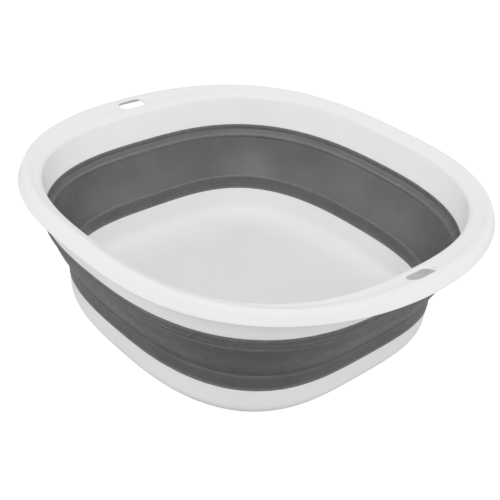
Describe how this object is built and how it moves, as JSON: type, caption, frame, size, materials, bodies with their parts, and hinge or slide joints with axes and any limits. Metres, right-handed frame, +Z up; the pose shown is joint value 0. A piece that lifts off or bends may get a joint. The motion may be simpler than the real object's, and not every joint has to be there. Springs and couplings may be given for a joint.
{
  "type": "collapsible foot basin",
  "caption": "Collapsible foot basin: stiff rim with a hanging slot in each handle, soft folding wall and a flat-floored tub on round pads. The rim pushes down to fold it flat.",
  "frame": {"origin": "centre of the ground contact plane, under the middle of the basin", "axes": "+Z up; the two handles lie at +X and -X; +Y along the shorter side"},
  "size_m": [0.4296, 0.3956, 0.1442],
  "materials": {
    "white_plastic": "satin",
    "grey_soft_plastic": "fine matt grain",
    "grey_pad": "matt"
  },
  "bodies": {
    "base": {"base_tub": "white_plastic", "folding_wall": "grey_soft_plastic", "foot_1": "grey_pad", "foot_2": "grey_pad", "foot_3": "grey_pad", "foot_4": "grey_pad"},
    "rim": {"rim": "white_plastic"}
  },
  "joints": [
    {"name": "collapse", "type": "slide", "parent": "base", "child": "rim", "axis": [0, 0, -1], "range_m": [0, 0.082], "deforming": ["folding_wall"]}
  ]
}
